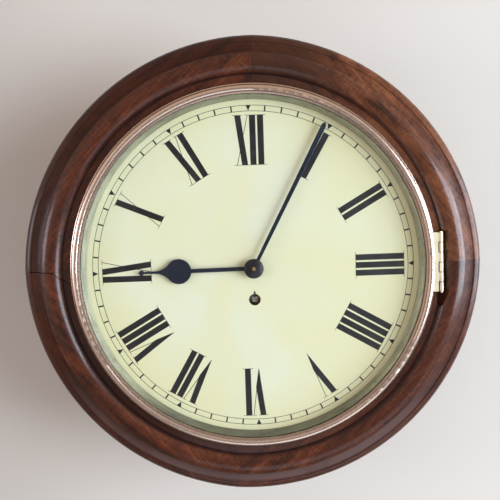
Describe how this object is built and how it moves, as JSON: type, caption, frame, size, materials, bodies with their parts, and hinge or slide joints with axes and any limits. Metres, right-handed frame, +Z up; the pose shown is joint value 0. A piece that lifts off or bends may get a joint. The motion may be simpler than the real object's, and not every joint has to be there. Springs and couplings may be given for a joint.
{
  "type": "fusee dial clock",
  "caption": "Round mahogany wall clock with a painted Roman dial, a hinged brass bezel, steel hands, and a fusee movement with a pendulum in a box behind.",
  "frame": {"origin": "on the wall, straight behind the arbor of the hands, in the plane of the back board's rear face", "axes": "+Z up, +X to the right as seen from the front, and -Y out of the wall towards the viewer"},
  "size_m": [0.3969, 0.1314, 0.3965],
  "materials": {
    "mahogany": "french polish",
    "pine": "bare",
    "bezel_brass": "turned and polished",
    "stained_brass": "dulled silvering",
    "clear_glass": "clear",
    "painted_dial": "old cream paint",
    "blued_steel": "blued",
    "plate_brass": "lacquered",
    "bright_steel": "polished",
    "gut": "dry"
  },
  "bodies": {
    "frame": {"surround_upper_right": "mahogany", "surround_lower_right": "mahogany", "surround_lower_left": "mahogany", "surround_upper_left": "mahogany", "case_top": "mahogany", "case_left_side": "mahogany", "case_right_side": "mahogany", "case_bottom": "mahogany", "back_board": "pine", "battens": "pine", "case_pegs": "pine", "surround_hinge_leaf": "bezel_brass", "dial_plate": "painted_dial", "dial_feet": "plate_brass", "case_hinge_leaves": "plate_brass", "hanging_plate": "plate_brass", "wood_screws": "plate_brass", "front_plate": "plate_brass", "back_plate": "plate_brass", "pillars": "plate_brass", "back_cock": "plate_brass", "motion_bridge": "plate_brass", "bezel_hinge_pin": "bright_steel", "taper_pins": "bright_steel", "barrel_arbor": "bright_steel", "gut_run": "gut"},
    "bezel": {"bezel_ring": "bezel_brass", "sight_ring": "stained_brass", "glass": "clear_glass", "bezel_hinge_leaf": "bezel_brass"},
    "side_door": {"side_door": "mahogany", "side_door_leaves": "plate_brass"},
    "bottom_door": {"bottom_door": "mahogany", "bottom_door_leaves": "plate_brass"},
    "side_button": {"side_door_button": "plate_brass"},
    "bottom_button": {"bottom_door_button": "plate_brass"},
    "centre": {"centre_wheel": "plate_brass", "cannon_wheel": "plate_brass", "minute_hand": "blued_steel", "hand_collet": "blued_steel", "hand_pin": "plate_brass"},
    "hour": {"hour_wheel": "plate_brass", "hour_hand": "blued_steel"},
    "minute_wheel": {"minute_wheel": "plate_brass"},
    "great_wheel": {"great_wheel": "plate_brass"},
    "third": {"third_wheel": "plate_brass"},
    "escape": {"escape_wheel": "plate_brass"},
    "fusee": {"fusee_cone": "plate_brass", "fusee_arbor": "bright_steel", "gut_on_fusee": "gut"},
    "barrel": {"barrel": "plate_brass", "barrel_cap": "plate_brass", "mainspring": "bright_steel"},
    "pendulum": {"suspension_spring": "bright_steel", "pendulum_rod": "bright_steel", "pendulum_bob": "plate_brass", "rating_nut": "plate_brass"},
    "pallets": {"pallets": "bright_steel", "crutch": "bright_steel"},
    "setup_click": {"setup_click": "bright_steel"}
  },
  "joints": [
    {"name": "bezel_hinge", "type": "hinge", "parent": "frame", "child": "bezel", "pos_m": [0.1609, -0.126, 0], "axis": [0, 0, 1], "range_deg": [0, 115]},
    {"name": "side_door_hinge", "type": "hinge", "parent": "frame", "child": "side_door", "pos_m": [0.1074, -0.027, 0], "axis": [0, 0, 1], "range_deg": [0, 100]},
    {"name": "bottom_door_hinge", "type": "hinge", "parent": "frame", "child": "bottom_door", "pos_m": [0, -0.029, -0.1674], "axis": [1, 0, 0], "range_deg": [0, 95]},
    {"name": "side_button_turn", "type": "hinge", "parent": "frame", "child": "side_button", "pos_m": [0.106, -0.082, 0], "axis": [1, 0, 0], "range_deg": [0, 90]},
    {"name": "bottom_button_turn", "type": "hinge", "parent": "frame", "child": "bottom_button", "pos_m": [0, -0.093, -0.166], "axis": [0, 0, -1], "range_deg": [0, 90]},
    {"name": "centre_arbor", "type": "hinge", "parent": "frame", "child": "centre", "pos_m": [0, -0.1, 0], "axis": [0, 1, 0], "continuous": true},
    {"name": "hour_pipe", "type": "hinge", "parent": "frame", "child": "hour", "pos_m": [0, -0.112, 0], "axis": [0, 1, 0], "continuous": true},
    {"name": "minute_wheel_stud", "type": "hinge", "parent": "frame", "child": "minute_wheel", "pos_m": [-0.01711, -0.104, 0.00988], "axis": [0, 1, 0], "continuous": true},
    {"name": "great_wheel_turn", "type": "hinge", "parent": "frame", "child": "great_wheel", "pos_m": [0, -0.059, -0.02775], "axis": [0, 1, 0], "continuous": true},
    {"name": "third_arbor", "type": "hinge", "parent": "frame", "child": "third", "pos_m": [0.01208, -0.076, 0.01819], "axis": [0, 1, 0], "continuous": true},
    {"name": "escape_arbor", "type": "hinge", "parent": "frame", "child": "escape", "pos_m": [0, -0.076, 0.033], "axis": [0, 1, 0], "continuous": true},
    {"name": "fusee_arbor_turn", "type": "hinge", "parent": "frame", "child": "fusee", "pos_m": [0, -0.076, -0.02775], "axis": [0, 1, 0], "continuous": true},
    {"name": "barrel_turn", "type": "hinge", "parent": "frame", "child": "barrel", "pos_m": [-0.034, -0.075, -0.065], "axis": [0, 1, 0], "continuous": true},
    {"name": "pendulum_swing", "type": "hinge", "parent": "frame", "child": "pendulum", "pos_m": [0, -0.0385, 0.057], "axis": [0, 1, 0], "range_deg": [-2.5, 2.5]},
    {"name": "pallet_arbor", "type": "hinge", "parent": "frame", "child": "pallets", "pos_m": [0, -0.07, 0.057], "axis": [0, 1, 0], "range_deg": [-2.5, 2.5]},
    {"name": "setup_click_pivot", "type": "hinge", "parent": "frame", "child": "setup_click", "pos_m": [-0.019, -0.103, -0.074], "axis": [0, -1, 0], "range_deg": [0, 20]}
  ],
  "couplings": [
    {"joint": "hour_pipe", "follows": "centre_arbor", "ratio": 0.083333},
    {"joint": "minute_wheel_stud", "follows": "centre_arbor", "ratio": -1},
    {"joint": "great_wheel_turn", "follows": "centre_arbor", "ratio": -0.083333},
    {"joint": "third_arbor", "follows": "centre_arbor", "ratio": -12},
    {"joint": "escape_arbor", "follows": "centre_arbor", "ratio": 144},
    {"joint": "barrel_turn", "follows": "fusee_arbor_turn", "ratio": 0.64},
    {"joint": "pallet_arbor", "follows": "pendulum_swing", "ratio": 1}
  ]
}
